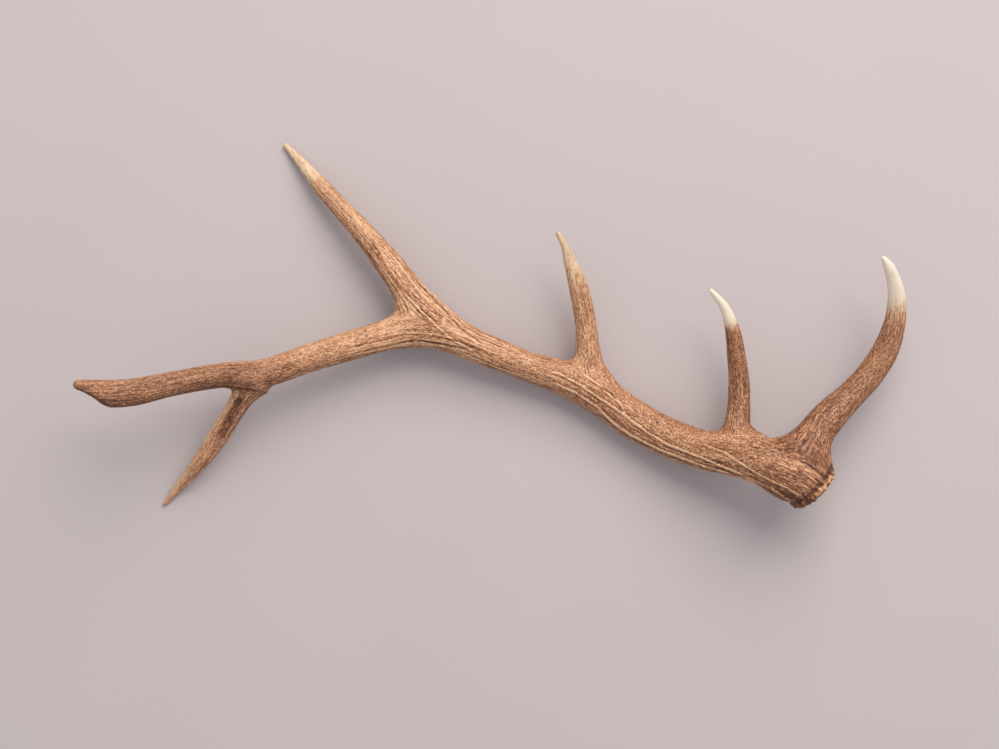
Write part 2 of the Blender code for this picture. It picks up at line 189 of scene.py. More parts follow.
@dataclass
class Branch:
    """One branch of the antler: a tube of oval sections along a smooth core.

    Attributes:
        name: What the branch is called.
        stations: Along its core from the root: x, y, height, width in plan and depth across it.
        tones: How light its bone is, evenly spaced from root to tip, from 0 to 1.
        pebbles: How pebbly its bone is, evenly spaced from root to tip, from 0 to 1.
        streaks: How streaky its bone is, evenly spaced from root to tip, from 0 to 1.
        painted_side_light: Painted light and shade, how much lighter the side facing the key light is, evenly
            spaced from root to tip.
        girth: Radius on which its grain is laid out, so that grooves close up where it tapers.
        web: How far the web in its crotch spreads.
        rooted: How far along its core the web comes to its full reach.
        tip: How far its tip is polished.
        polished: How far from the tip the polish is whole, and how far from it the polish ends.
        step: Distance between two samples of the core.
    """

    name: str
    stations: list[tuple[float, ...]]
    tones: tuple[float, ...]
    pebbles: tuple[float, ...]
    streaks: tuple[float, ...]
    painted_side_light: tuple[float, ...]
    girth: float
    web: float = 20.0
    rooted: float = 40.0
    tip: TipWear = TipWear.STAINED
    polished: tuple[float, float] = (10.0, 60.0)
    step: float = 5.0

    def __post_init__(self) -> None:
        """Lays the core through the stations."""
        knots = np.array(self.stations, float)
        chords = np.linalg.norm(np.diff(knots[:, :3], axis=0), axis=1)
        at = np.concatenate([[0], np.cumsum(chords)])
        slopes = np.gradient(knots, at, axis=0)
        samples = np.linspace(0, at[-1], int(at[-1] / self.step) + 1)
        left = np.clip(np.searchsorted(at, samples, side="right") - 1, 0, len(chords) - 1)
        span = chords[left][:, None]
        t = ((samples - at[left]) / chords[left])[:, None]
        rows = (
            (2 * t**3 - 3 * t**2 + 1) * knots[left]
            + (t**3 - 2 * t**2 + t) * span * slopes[left]
            + (3 * t**2 - 2 * t**3) * knots[left + 1]
            + (t**3 - t**2) * span * slopes[left + 1]
        )
        self.length = float(at[-1])
        self.centre = rows[:, :3]
        self.half = np.maximum(rows[:, 3:5] / 2, 0.8)
        along = np.gradient(self.centre, axis=0)
        self.along = along / np.linalg.norm(along, axis=1, keepdims=True)
        up = np.array([0.0, 0.0, 1.0]) - self.along * self.along[:, 2:3]
        self.up = up / np.linalg.norm(up, axis=1, keepdims=True)
        self.side = np.cross(self.up, self.along)

    def near(self, points: Array, reach: float = 60.0) -> Array:
        """Tells which points are in the branch's box.

        Args:
            points: The points to look at.
            reach: How far outside the core's own box a point still counts.

        Returns:
            True or False for each point.
        """
        low = self.centre.min(axis=0) - reach
        high = self.centre.max(axis=0) + reach
        return np.all((points > low) & (points < high), axis=1)

    def place(self, points: Array) -> tuple[Array, Array]:
        """Finds where on the core each point belongs.

        Args:
            points: The points to look at.

        Returns:
            The stretch of the core that is nearest, and the share of that stretch.
        """
        square = (self.centre**2).sum(axis=1)
        nearest = np.empty(len(points), int)
        for chunk in np.array_split(np.arange(len(points)), 1 + len(points) // 20000):
            nearest[chunk] = (square - 2 * points[chunk] @ self.centre.T).argmin(axis=1)
        found = []
        for shift in (-1, 0):
            start = np.clip(nearest + shift, 0, len(self.centre) - 2)
            segment = self.centre[start + 1] - self.centre[start]
            offset = points - self.centre[start]
            t = np.clip((offset * segment).sum(axis=1) / (segment**2).sum(axis=1), 0, 1)
            miss = ((offset - t[:, None] * segment) ** 2).sum(axis=1)
            found.append((miss, start, t))
        before, after = found
        earlier = before[0] < after[0]
        return np.where(earlier, before[1], after[1]), np.where(earlier, before[2], after[2])

    def across(self, points: Array) -> tuple[Array, Array, Array, Array]:
        """Reads each point in the branch's own directions.

        Args:
            points: The points to look at.

        Returns:
            The offset from the core; that offset over the half sizes, to the side, up and along; the
            half sizes; and the distance from the root along the core.
        """
        start, share = self.place(points)
        t = share[:, None]

        def between(values: Array) -> Array:
            """Reads a list of the core's values at each point."""
            return values[start] * (1 - t) + values[start + 1] * t

        offset = points - between(self.centre)
        half = between(self.half)
        ratios = np.stack(
            [
                (offset * between(self.side)).sum(axis=1) / half[:, 0],
                (offset * between(self.up)).sum(axis=1) / half[:, 1],
                (offset * between(self.along)).sum(axis=1) / half.min(axis=1),
            ],
            axis=1,
        )
        return offset, ratios, half, (start + share) * self.length / (len(self.centre) - 1)

    def distance(self, points: Array) -> tuple[Array, Array]:
        """Measures how far points are from the branch.

        Args:
            points: The points to look at.

        Returns:
            About how far each is outside the branch, and FAR where the branch isn't near; and how far
            along the core it is.
        """
        distance = np.full(len(points), FAR)
        along = np.zeros(len(points))
        near = self.near(points)
        if near.any():
            offset, ratios, _, along[near] = self.across(points[near])
            ratio = np.maximum(np.linalg.norm(ratios, axis=1), 1e-6)
            distance[near] = np.linalg.norm(offset, axis=1) * (1 - 1 / ratio)
        return distance, along

    def grain(self, points: Array) -> tuple[Array, Array]:
        """Lays each point out along the branch's grain.

        Args:
            points: The points to look at.

        Returns:
            Two numbers round the girth and one along the core; and how thick the branch is, over its
            girth.
        """
        _, ratios, half, along = self.across(points)
        turn = ratios[:, :2] / np.maximum(np.linalg.norm(ratios[:, :2], axis=1, keepdims=True), 1e-6)
        return np.column_stack([turn * self.girth, along]), half.mean(axis=1) / self.girth

    def read(self, values: tuple[float, ...], along: Array) -> Array:
        """Reads a list that is evenly spaced from root to tip."""
        return np.interp(along, np.linspace(0, self.length, len(values)), values)

    def add_tube(self, bm: bmesh.types.BMesh, sides: int = 32) -> None:
        """Adds the branch to a mesh as a closed tube.

        Args:
            bm: The mesh that is being built.
            sides: How many corners a section has.
        """
        rings = []
        for k, centre in enumerate(self.centre):
            ring = []
            for j in range(sides):
                angle = math.tau * j / sides
                sideways = self.side[k] * self.half[k, 0] * math.cos(angle)
                ring.append(bm.verts.new(centre + sideways + self.up[k] * self.half[k, 1] * math.sin(angle)))
            rings.append(ring)
        for first, second in zip(rings, rings[1:]):
            for j in range(sides):
                after = (j + 1) % sides
                bm.faces.new((first[j], first[after], second[after], second[j]))
        bm.faces.new(rings[0][::-1])
        bm.faces.new(rings[-1])


@dataclass
class Burr:
    """The pearled ring at the beam's root, and the seal that the antler was shed from.

    Attributes:
        pearls: How many drops of bone are in the ring.
        ring: The ring's radius.
        radius: A pearl's half width.
        half_length: A pearl's half length, along the beam.
        set_back: From the seal to the middle of the pearls.
        fuse: How far the pearls flow into the beam.
        dome: How far the seal bulges at its middle.
        darkened_span: Where in plan, towards -Y, the pearls start and end to be darker.
        seed: Which ring it is.
    """

    pearls: int = 42
    ring: float = 33.4
    radius: float = 2.2
    half_length: float = 4.6
    set_back: float = 4.8
    fuse: float = 0.6
    dome: float = 1.8
    darkened_span: tuple[float, float] = (-208.0, -221.0)
    seed: int = 7
    drops: list[tuple[Array, float, float]] = field(default_factory=list)

    def root(self, beam: Branch) -> None:
        """Sets the ring round the root of the beam.

        Args:
            beam: The branch that it is on.
        """
        rng = np.random.default_rng(self.seed)
        self.along = beam.along[0]
        self.seal = beam.centre[0]
        middle = self.seal + self.along * self.set_back
        for k in range(self.pearls):
            angle = math.tau * (k + rng.uniform(-0.25, 0.25)) / self.pearls
            size = rng.uniform(0.85, 1.2)
            outward = beam.side[0] * math.cos(angle) + beam.up[0] * math.sin(angle)
            place = middle + outward * (self.ring + rng.uniform(-1.2, 1.2))
            place = place + self.along * (rng.uniform(-0.6, 0.6) + (1.6 if k % 2 else -0.8))
            self.drops.append((place, self.radius * size, self.half_length * rng.uniform(0.85, 1.15)))

    def past(self, points: Array) -> tuple[Array, Array]:
        """How far each point is past the seal's plane, and how far from its middle in that plane."""
        offset = points - self.seal
        past = -(offset @ self.along)
        return past, np.linalg.norm(offset + past[:, None] * self.along, axis=1)

    def distance(self, points: Array) -> Array:
        """About how far each point is outside the nearest pearl."""
        distance = np.full(len(points), FAR)
        near = np.linalg.norm(points - self.seal, axis=1) < 2 * self.ring
        p = points[near]
        best = np.full(len(p), FAR)
        for place, radius, half_length in self.drops:
            offset = p - place
            lengthwise = offset @ self.along
            sideways = offset - lengthwise[:, None] * self.along
            squashed = np.sqrt((sideways**2).sum(axis=1) + (lengthwise * radius / half_length) ** 2)
            best = np.minimum(best, squashed - radius)
        distance[near] = best
        return distance

    def beyond(self, points: Array) -> Array:
        """How far each point is past the domed seal, near the burr alone."""
        past, away = self.past(points)
        domed = past - self.dome * np.clip(1 - (away / self.ring) ** 2, 0, 1)
        return np.where(away < 1.6 * self.ring, domed, -FAR)

    def painted_gap_shade(self, points: Array) -> Array:
        """The share of the painted shade in the gaps between pearls at each point."""
        past, away = self.past(points)
        zone = smooth(11, 6, np.abs(past + self.set_back)) * smooth(25, 29, away) * (past < -0.6)
        return zone * smooth(0.1, 1.4, self.distance(points))

    def add_rough(self, bm: bmesh.types.BMesh) -> None:
        """Adds every pearl to a mesh, roughly.

        Args:
            bm: The mesh that is being built.
        """
        turn = Vector((0, 0, 1)).rotation_difference(Vector(self.along)).to_matrix().to_4x4()
        for place, radius, half_length in self.drops:
            size = Matrix.Diagonal((radius, radius, half_length, 1))
            matrix = Matrix.Translation(Vector(place)) @ turn @ size
            bmesh.ops.create_icosphere(bm, subdivisions=2, radius=1, matrix=matrix)


@dataclass(frozen=True)
class WornEnd:
    """The slanting face at the beam's far end, worn to a shallow hollow.

    Attributes:
        point: The middle of the face, before it is worn in.
        outward: The way that the face looks.
        radius: Radius of the hollow.
        hollow: How far the middle is worn in.
        rounding: How soft the face's edge is.
    """

    point: tuple[float, float, float] = (-505.9, -88.7, 145.0)
    outward: tuple[float, float, float] = (-0.515, -0.857, 0.0)
    radius: float = 90.0
    hollow: float = 1.5
    rounding: float = 9.0

    def beyond(self, points: Array) -> Array:
        """How far each point is past the hollow."""
        outward = np.array(self.outward)
        hub = np.array(self.point) + outward * (self.radius - self.hollow)
        return self.radius - np.linalg.norm(points - hub, axis=1)


@dataclass(frozen=True)
class Vein:
    """A raised vein on the side that shows, with a shallow groove on each side of it.

    Attributes:
        course: Its places in plan.
        height: How far it stands proud, and less than 0 for a groove.
        half_width: Half its width.
        paleness: How much paler its crest is for each millimetre of its height.
        fade: How long its ends are drawn out.
    """

    course: tuple[tuple[float, float], ...]
    height: float = 0.9
    half_width: float = 1.5
    paleness: float = 0.3
    fade: float = 14.0

    def rise(self, points: Array) -> Array:
        """How far the surface is raised at each point of the upper side."""
        course = np.array(self.course, float)
        lengths = np.linalg.norm(np.diff(course, axis=0), axis=1)
        before = np.concatenate([[0], np.cumsum(lengths)])
        miss = np.full(len(points), FAR)
        at = np.zeros(len(points))
        for k, start in enumerate(course[:-1]):
            step = course[k + 1] - start
            offset = points[:, :2] - start
            t = np.clip((offset @ step) / (step @ step), 0, 1)
            away = np.linalg.norm(offset - t[:, None] * step, axis=1)
            closer = away < miss
            miss[closer] = away[closer]
            at[closer] = before[k] + t[closer] * lengths[k]
        ends = smooth(0, self.fade, at) * smooth(0, self.fade, before[-1] - at)
        crest = np.exp(-((miss / self.half_width) ** 2))
        beside = np.exp(-(((miss - 2.3 * self.half_width) / self.half_width) ** 2))
        return self.height * (crest - 0.45 * beside) * ends


@dataclass(frozen=True)
class Patch:
    """A soft patch of another tone on the side that shows, long or round.

    Attributes:
        start: One end of its middle line, in plan.
        end: The other end.
        radius: How far it spreads.
        strength: More than 0 for a pale patch, less for a dark one.
    """

    start: tuple[float, float]
    end: tuple[float, float]
    radius: float
    strength: float

    def share(self, points: Array) -> Array:
        """The patch's strength at each point."""
        start = np.array(self.start)
        step = np.array(self.end) - start
        offset = points[:, :2] - start
        t = np.clip((offset @ step) / (step @ step), 0, 1)
        away = np.linalg.norm(offset - t[:, None] * step, axis=1)
        return self.strength * smooth(self.radius, 0.2 * self.radius, away)


@dataclass(frozen=True)
class Relief:
    """The grooves and pebbles that cover the bone, laid out along its grain.

    Attributes:
        ridge: Height of the long ridges.
        groove: Depth of the long grooves.
        stripe: Height of the fine stripes.
        pebble: Height of the pebbles.
        swell: Height of the slow swelling of the surface.
        seed: Which relief it is.
    """

    ridge: float = 0.32
    groove: float = 0.45
    stripe: float = 0.3
    pebble: float = 0.4
    swell: float = 0.8
    seed: int = 21

    def heights(self, grain: Array, room: Array, pebbled: Array, streaked: Array) -> tuple[Array, Array]:
        """Reads the relief.

        Args:
            grain: Two numbers round the girth and one along the core.
            room: How thick the branch is, over its girth.
            pebbled: How pebbly the bone is.
            streaked: How streaky it is.

        Returns:
            The height of the fine relief, and that of the slow swelling.
        """

        def read(which: int, wide: float, long: float) -> Array:
            """Reads one of the noises, at a width and a length."""
            return Noise(self.seed + which)(grain / np.array((wide, wide, long)))

        drift = 0.3 * read(5, 9, 30)
        ridges = np.exp(-(((read(0, 4.6, 60) + drift) / 0.16) ** 2))
        grooves = np.exp(-(((read(1, 3.8, 42) + drift) / 0.19) ** 2))
        pebbles = np.maximum(read(3, 2.6, 4.2) + 0.3, 0) - 0.4
        fine = (self.ridge * ridges - self.groove * grooves * (1 - ridges)) * (0.2 + 0.8 * streaked)
        fine = fine + self.stripe * read(2, 2.5, 13) * (0.4 + 0.6 * streaked)
        fine = fine + self.pebble * pebbles * pebbled
        return fine * smooth(0.3, 0.85, room), self.swell * read(4, 24, 70) * smooth(0.3, 1, room)


class Nodes:
    """Builds a material's nodes, with short names for what is needed often."""

    def __init__(self, name: str) -> None:
        """Starts from a material's own Principled shader.

        Args:
            name: What the material is called.
        """
        self.material = bpy.data.materials.new(name)
        self.material.use_nodes = True
        self.shader = self.material.node_tree.nodes["Principled BSDF"]

    def add(self, kind: str) -> bpy.types.Node:
        """Adds one node of a kind."""
        return self.material.node_tree.nodes.new("ShaderNode" + kind)

    def link(self, source: bpy.types.NodeSocket, target: bpy.types.NodeSocket) -> None:
        """Links two sockets."""
        self.material.node_tree.links.new(source, target)

    def feed(self, socket: bpy.types.NodeSocket, value: object) -> None:
        """Links a socket to another, or sets it to a plain value."""
        if isinstance(value, bpy.types.NodeSocket):
            self.link(value, socket)
        else:
            socket.default_value = value

    def carried(self, name: str, output: str = "Fac") -> bpy.types.NodeSocket:
        """Reads one of the mesh's own numbers, or a place."""
        node = self.add("Attribute")
        node.attribute_name = name
        return node.outputs[output]

    def maths(self, operation: str, *values: object, clamp: bool = False) -> bpy.types.NodeSocket:
        """Works out one number.

        Args:
            operation: What to do.
            values: Sockets or plain numbers.
            clamp: Whether to keep the result between 0 and 1.

        Returns:
            The result.
        """
        node = self.add("Math")
        node.operation = operation
        node.use_clamp = clamp
        for socket, value in zip(node.inputs, values):
            self.feed(socket, value)
        return node.outputs[0]

    def noise(
        self, place: bpy.types.NodeSocket, size: tuple[float, float], detail: float
    ) -> bpy.types.NodeSocket:
        """Reads a noise along the grain.

        Args:
            place: Where, in millimetres.
            size: The noise's width and length.
            detail: How much finer noise is laid over it.

        Returns:
            A number about 0.5.
        """
        scale = self.add("VectorMath")
        scale.operation = "MULTIPLY"
        self.link(place, scale.inputs[0])
        scale.inputs[1].default_value = (1 / size[0], 1 / size[0], 1 / size[1])
        node = self.add("TexNoise")
        self.link(scale.outputs[0], node.inputs["Vector"])
        node.inputs["Scale"].default_value = 1
        node.inputs["Detail"].default_value = detail
        return node.outputs["Fac"]

    def ramp(self, value: bpy.types.NodeSocket, stops: list[tuple[float, Colour]]) -> bpy.types.NodeSocket:
        """Turns a number into a colour.

        Args:
            value: The number.
            stops: Where each colour is.

        Returns:
            The colour.
        """
        node = self.add("ValToRGB")
        elements = node.color_ramp.elements
        while len(elements) < len(stops):
            elements.new(0.5)
        for element, (place, colour) in zip(elements, stops):
            element.position = place
            element.color = (*colour, 1)
        self.link(value, node.inputs["Fac"])
        return node.outputs["Color"]

    def blend(self, share: object, first: object, second: object) -> bpy.types.NodeSocket:
        """Mixes two colours.

        Args:
            share: How much of the second there is.
            first: A colour, or a socket that gives it.
            second: The same.

        Returns:
            The mixed colour.
        """
        node = self.add("Mix")
        node.data_type = "RGBA"
        self.feed(node.inputs[0], share)
        self.feed(node.inputs[6], first if isinstance(first, bpy.types.NodeSocket) else (*first, 1))
        self.feed(node.inputs[7], second if isinstance(second, bpy.types.NodeSocket) else (*second, 1))
        return node.outputs[2]

    def bump(self, height: bpy.types.NodeSocket, distance: float, strength: float) -> None:
        """Gives the shader a fine relief.

        Args:
            height: The relief.
            distance: How high it is, in metres.
            strength: How much of it is felt.
        """
        node = self.add("Bump")
        node.inputs["Strength"].default_value = strength
        node.inputs["Distance"].default_value = distance
        self.link(height, node.inputs["Height"])
        self.link(node.outputs["Normal"], self.shader.inputs["Normal"])


@dataclass(frozen=True)
class BoneFinish:
    """Weathered antler: tan bone with dark grooves and pale crests, and ivory where it is polished.

    Attributes:
        groove: Colour deep in the grooves.
        shade: Colour of the darker bone.
        tan: Colour of most of the bone.
        crest: Colour of the worn crests.
        pale: Colour of the palest of them.
        cream: Colour of a tip that is polished in part.
        ivory: Colour of a polished tip.
        white: Colour of its brightest streaks.
        pearl: Colour of the burr's pearls.
        seal: Colour of the grainy seal.
        roughness: How rough the bone is.
        polish: How much smoother the ivory is.
    """

    groove: Colour = (0.062, 0.020, 0.008)
    shade: Colour = (0.180, 0.069, 0.031)
    tan: Colour = (0.335, 0.150, 0.077)
    crest: Colour = (0.56, 0.290, 0.158)
    pale: Colour = (0.70, 0.45, 0.275)
    cream: Colour = (0.61, 0.41, 0.25)
    ivory: Colour = (0.72, 0.575, 0.43)
    white: Colour = (0.80, 0.71, 0.58)
    pearl: Colour = (0.42, 0.215, 0.09)
    seal: Colour = (0.40, 0.26, 0.16)
    roughness: float = 0.56
    polish: float = 0.2

    def build(self) -> bpy.types.Material:
        """Makes the material.

        Returns:
            Bone that follows the grain, tone and wear that the mesh carries.
        """
        nodes = Nodes("antler_bone")
        tine_share = nodes.carried("tine_share")

        def grain(size: tuple[float, float], detail: float) -> bpy.types.NodeSocket:
            """Reads a noise along the grain of the beam and of the tines, from -0.5 to 0.5."""
            on_beam = nodes.noise(nodes.carried("grain_beam", "Vector"), size, detail)
            on_tine = nodes.noise(nodes.carried("grain_tine", "Vector"), size, detail)
            step = nodes.maths("MULTIPLY", nodes.maths("SUBTRACT", on_tine, on_beam), tine_share)
            return nodes.maths("SUBTRACT", nodes.maths("ADD", on_beam, step), 0.5)

        fleck = grain((1.25, 2.5), 1.0)
        dash = grain((1.1, 7.0), 1.0)
        line = grain((1.7, 85.0), 1.0)
        blot = grain((4.0, 8.0), 1.5)
        broad = grain((11.0, 42.0), 2.0)
        streaks = nodes.carried("streaks")
        relief = nodes.carried("relief")
        worn = nodes.carried("ivory")
        tone = nodes.maths("MULTIPLY_ADD", relief, 0.16, nodes.carried("tone"))
        tone = nodes.maths("MULTIPLY_ADD", broad, 0.35, tone)
        tone = nodes.maths("MULTIPLY_ADD", blot, 0.35, tone)
        tone = nodes.maths("MULTIPLY_ADD", worn, 0.3, tone)
        tone = nodes.maths("MULTIPLY_ADD", fleck, nodes.maths("MULTIPLY_ADD", streaks, -0.6, 1.6), tone)
        tone = nodes.maths("MULTIPLY_ADD", dash, nodes.maths("MULTIPLY_ADD", streaks, 0.6, 0.7), tone)
        lines = nodes.maths("MULTIPLY", line, streaks)
        tone = nodes.maths("MULTIPLY_ADD", lines, 1.5, tone, clamp=True)
        colour = nodes.ramp(
            tone,
            [(0.0, self.groove), (0.26, self.shade), (0.5, self.tan), (0.78, self.crest), (1.0, self.pale)],
        )
        spread = nodes.maths("MULTIPLY_ADD", blot, 1.5, worn)
        spread = nodes.maths("MULTIPLY_ADD", dash, 0.9, spread)
        spread = nodes.maths("MULTIPLY_ADD", line, 0.5, spread)
        polished = nodes.maths("MULTIPLY", nodes.maths("SUBTRACT", spread, 0.38), 3.2, clamp=True)
        bright = nodes.maths("MULTIPLY_ADD", line, 0.5, nodes.maths("SUBTRACT", worn, 0.08))
        ivory = nodes.ramp(
            bright, [(0.0, self.crest), (0.4, self.cream), (0.75, self.ivory), (1.0, self.white)]
        )
        colour = nodes.blend(polished, colour, ivory)
        crown = nodes.carried("crown")
        gilt = nodes.maths("MULTIPLY", crown, 4.0, clamp=True)
        # The pearls' colour runs from a painted shade at their bases to the crest colour on their tops.
        shaded_pearls = nodes.ramp(
            nodes.maths("MULTIPLY_ADD", fleck, 0.5, crown),
            [(0.0, self.groove), (0.3, self.shade), (0.62, self.pearl), (1.0, self.crest)],
        )
        colour = nodes.blend(gilt, colour, shaded_pearls)
        seal = nodes.carried("seal")
        pits = nodes.ramp(
            nodes.maths("MULTIPLY_ADD", relief, 0.5, 0.5, clamp=True),
            [(0.0, self.groove), (0.45, self.tan), (1.0, self.seal)],
        )
        colour = nodes.blend(seal, colour, pits)
        nodes.link(colour, nodes.shader.inputs["Base Color"])
        rough = nodes.maths("MULTIPLY_ADD", dash, -0.3, self.roughness)
        glossy = nodes.maths("MAXIMUM", polished, gilt)
        rough = nodes.maths("MULTIPLY_ADD", glossy, -self.polish, rough, clamp=True)
        nodes.link(rough, nodes.shader.inputs["Roughness"])
        nodes.shader.inputs["Specular IOR Level"].default_value = 0.34
        height = nodes.maths("ADD", fleck, nodes.maths("ADD", dash, lines))
        height = nodes.maths("MULTIPLY", height, nodes.maths("MULTIPLY_ADD", polished, -0.85, 1.0))
        nodes.bump(height, 0.0012, 0.5)
        return nodes.material


@dataclass(frozen=True)
class FloorFinish:
    """A plain pale floor with a faint mottle.

    Attributes:
        pale: Its lighter colour.
        mottle: Its darker one.
        roughness: How matt it is.
    """

    pale: Colour = (0.475, 0.418, 0.425)
    mottle: Colour = (0.445, 0.39, 0.40)
    roughness: float = 0.9

    def build(self) -> bpy.types.Material:
        """Makes the material.

        Returns:
            Matt paint.
        """
        nodes = Nodes("pale_floor")
        place = nodes.add("TexCoord").outputs["Object"]
        cloud = nodes.noise(place, (0.4, 0.4), 3.0)
        nodes.link(nodes.blend(cloud, self.mottle, self.pale), nodes.shader.inputs["Base Color"])
        rough = nodes.maths("MULTIPLY_ADD", cloud, 0.08, self.roughness - 0.04)
        nodes.link(rough, nodes.shader.inputs["Roughness"])
        nodes.bump(nodes.noise(place, (0.003, 0.003), 2.0), 0.0002, 0.2)
        return nodes.material


@dataclass
class Antler:
    """The antler in one piece of bone.

    Attributes:
        beam: The main beam.
        tines: Its tines.
        burr: The pearled ring at its root.
        end: The worn end.
        veins: The veins and grooves, listed one by one.
        patches: The patches of another tone.
        relief: What covers the rest of it.
        finish: What it is made of.
        grids: The grids that fuse the branches, from the coarse one to the fine one.
        settle_rounds: How often the surface is moved to its place on each grid.
        triangles: What the surface is thinned out to.
        lined_side: The way that the long lined edge of the beam looks.
        painted_lit_side: The way that the side painted lighter looks, towards the key light: a painted light.
    """

    beam: Branch
    tines: list[Branch]
    burr: Burr
    end: WornEnd
    veins: list[Vein]
    patches: list[Patch]
    relief: Relief
    finish: BoneFinish
    grids: tuple[float, ...] = (2.6, 1.3)
    settle_rounds: tuple[int, ...] = (5, 3)
    triangles: int = 194000
    lined_side: tuple[float, float, float] = (-0.3, -0.95, 0.0)
    painted_lit_side: tuple[float, float, float] = (0.2, 0.98, 0.0)

    def distance(self, points: Array) -> Array:
        """About how far each point is outside the smooth antler."""
        distance, _ = self.beam.distance(points)
        distance = soft_cut(distance, self.end.beyond(points), self.end.rounding)
        for tine in self.tines:
            to_tine, along = tine.distance(points)
            reach = 1 + (tine.web - 1) * np.clip(along / tine.rooted, 0, 1) ** 2
            distance = soft_union(distance, to_tine, reach)
        distance = soft_union(distance, self.burr.distance(points), self.burr.fuse)
        return soft_cut(distance, self.burr.beyond(points), 1.5)

    def slope(self, points: Array, here: Array, nudge: float = 0.2) -> Array:
        """The way out of the antler at each point.

        Args:
            points: The points to look at.
            here: The distance at each.
            nudge: How far to move for the reading.

        Returns:
            One direction for each point, about 1 long.
        """
        slope = np.empty_like(points)
        for axis in range(3):
            moved = points.copy()
            moved[:, axis] += nudge
            slope[:, axis] = (self.distance(moved) - here) / nudge
        return slope

    def rough_mesh(self) -> bpy.types.Mesh:
        """Puts every tube and pearl in one mesh.

        Returns:
            Closed surfaces that run through each other.
        """
        bm = bmesh.new()
        self.beam.add_tube(bm)
        geometry = bm.verts[:] + bm.edges[:] + bm.faces[:]
        cut = bmesh.ops.bisect_plane(
            bm, geom=geometry, plane_co=self.end.point, plane_no=self.end.outward, clear_outer=True
        )
        rim = [e for e in cut["geom_cut"] if isinstance(e, bmesh.types.BMEdge)]
        bmesh.ops.holes_fill(bm, edges=rim, sides=0)
        for tine in self.tines:
            tine.add_tube(bm)
        self.burr.add_rough(bm)
        bmesh.ops.recalc_face_normals(bm, faces=bm.faces)
        mesh = bpy.data.meshes.new("rough_antler")
        bm.to_mesh(mesh)
        bm.free()
        return mesh

    def settle(self, points: Array, grid: float, rounds: int) -> tuple[Array, Array]:
        """Moves points onto the smooth surface.

        Args:
            points: Points near the surface.
            grid: Size of the grid that they were made on.
            rounds: How often they are moved.

        Returns:
            The moved points, and the way out at each.
        """
        for _ in range(rounds):
            here = self.distance(points)
            slope = self.slope(points, here)
            steep = np.maximum((slope**2).sum(axis=1), 0.25)
            shift = slope * (here / steep)[:, None]
            length = np.linalg.norm(shift, axis=1, keepdims=True)
            points = points - shift * np.minimum(1, grid / np.maximum(length, 1e-9))
        return points, slope / np.maximum(np.linalg.norm(slope, axis=1, keepdims=True), 1e-6)

    def grow(self) -> tuple[bpy.types.Mesh, Array]:
        """Fuses the branches and settles their surface, on each grid in turn.

        Returns:
            The smooth antler on the fine grid, and the way out at each of its points.
        """
        mesh = self.rough_mesh()
        for grid, rounds in zip(self.grids, self.settle_rounds):
            mesh = modified(mesh, "REMESH", mode="VOXEL", voxel_size=grid)
            points, outward = self.settle(corners_of(mesh), grid, rounds)
            mesh.vertices.foreach_set("co", points.ravel())
            mesh.update()
        return mesh, outward

    def survey(self, points: Array, outward: Array) -> dict[str, Array]:
        """Reads all that the bone's surface carries.

        Args:
            points: Points on the surface.
            outward: The way out at each.

        Returns:
            The height of the relief and of the swelling, the grain of the beam and of the nearest tine,
            the tine's share, and the tone, streaks, ivory, crown, seal and relief that the finish reads.
        """
        to_beam, _ = self.beam.distance(points)
        to_tines = np.stack([tine.distance(points)[0] for tine in self.tines])
        nearest = to_tines.argmin(axis=0)
        tine_share = smooth(*GRAIN_SEAM, to_beam - to_tines.min(axis=0))
        grain_beam, room = self.beam.grain(points)
        along = grain_beam[:, 2]
        edge = smooth(*LINED_SIDE, outward @ np.array(self.lined_side))
        streaks = np.maximum(self.beam.read(self.beam.streaks, along), edge)
        fine, swell = self.relief.heights(grain_beam, room, self.beam.read(self.beam.pebbles, along), streaks)
        # Painted light and shade: the side that faces the key light is painted lighter, and the far side
        # darker.
        painted_light_facing = outward @ np.array(self.painted_lit_side)
        tone = self.beam.read(self.beam.tones, along) + self.beam.read(self.beam.painted_side_light, along) * painted_light_facing
        grain_tine = np.zeros_like(points)
        ivory = np.zeros(len(points))
        for k, tine in enumerate(self.tines):
            mine = (nearest == k) & (to_tines[k] < FAR)
            grain, room = tine.grain(points[mine])
            grain_tine[mine] = grain + np.array((0, 0, GRAIN_GAP * (k + 1)))
            along = grain[:, 2]
            share = tine_share[mine]
            streaked = np.maximum(tine.read(tine.streaks, along), edge[mine])
            relief = self.relief.heights(grain_tine[mine], room, tine.read(tine.pebbles, along), streaked)
            fine[mine] = fine[mine] * (1 - share) + relief[0] * share
            swell[mine] = swell[mine] * (1 - share) + relief[1] * share
            # The same painted light and shade across each tine.
            toned = tine.read(tine.tones, along) + tine.read(tine.painted_side_light, along) * painted_light_facing[mine]
            tone[mine] = tone[mine] * (1 - share) + toned * share
            streaks[mine] = streaks[mine] * (1 - share) + streaked * share
            whole, ends = tine.polished
            ivory[mine] = smooth(ends, whole, tine.length - along) * share * tine.tip.value
        facing = smooth(*UPPER_SIDE, outward[:, 2])
        for vein in self.veins:
            rise = vein.rise(points) * facing
            fine += rise
            tone += vein.paleness * rise
        for patch in self.patches:
            tone += patch.share(points) * facing
        past, away = self.burr.past(points)
        seal = smooth(-1.2, -0.2, past) * (away < 1.2 * self.burr.ring)
        grit = Noise(91)(points / 1.9) + 0.6 * Noise(92)(points / 4.2)
        on_pearls = smooth(1.0, 0, self.burr.distance(points)) * (1 - seal)
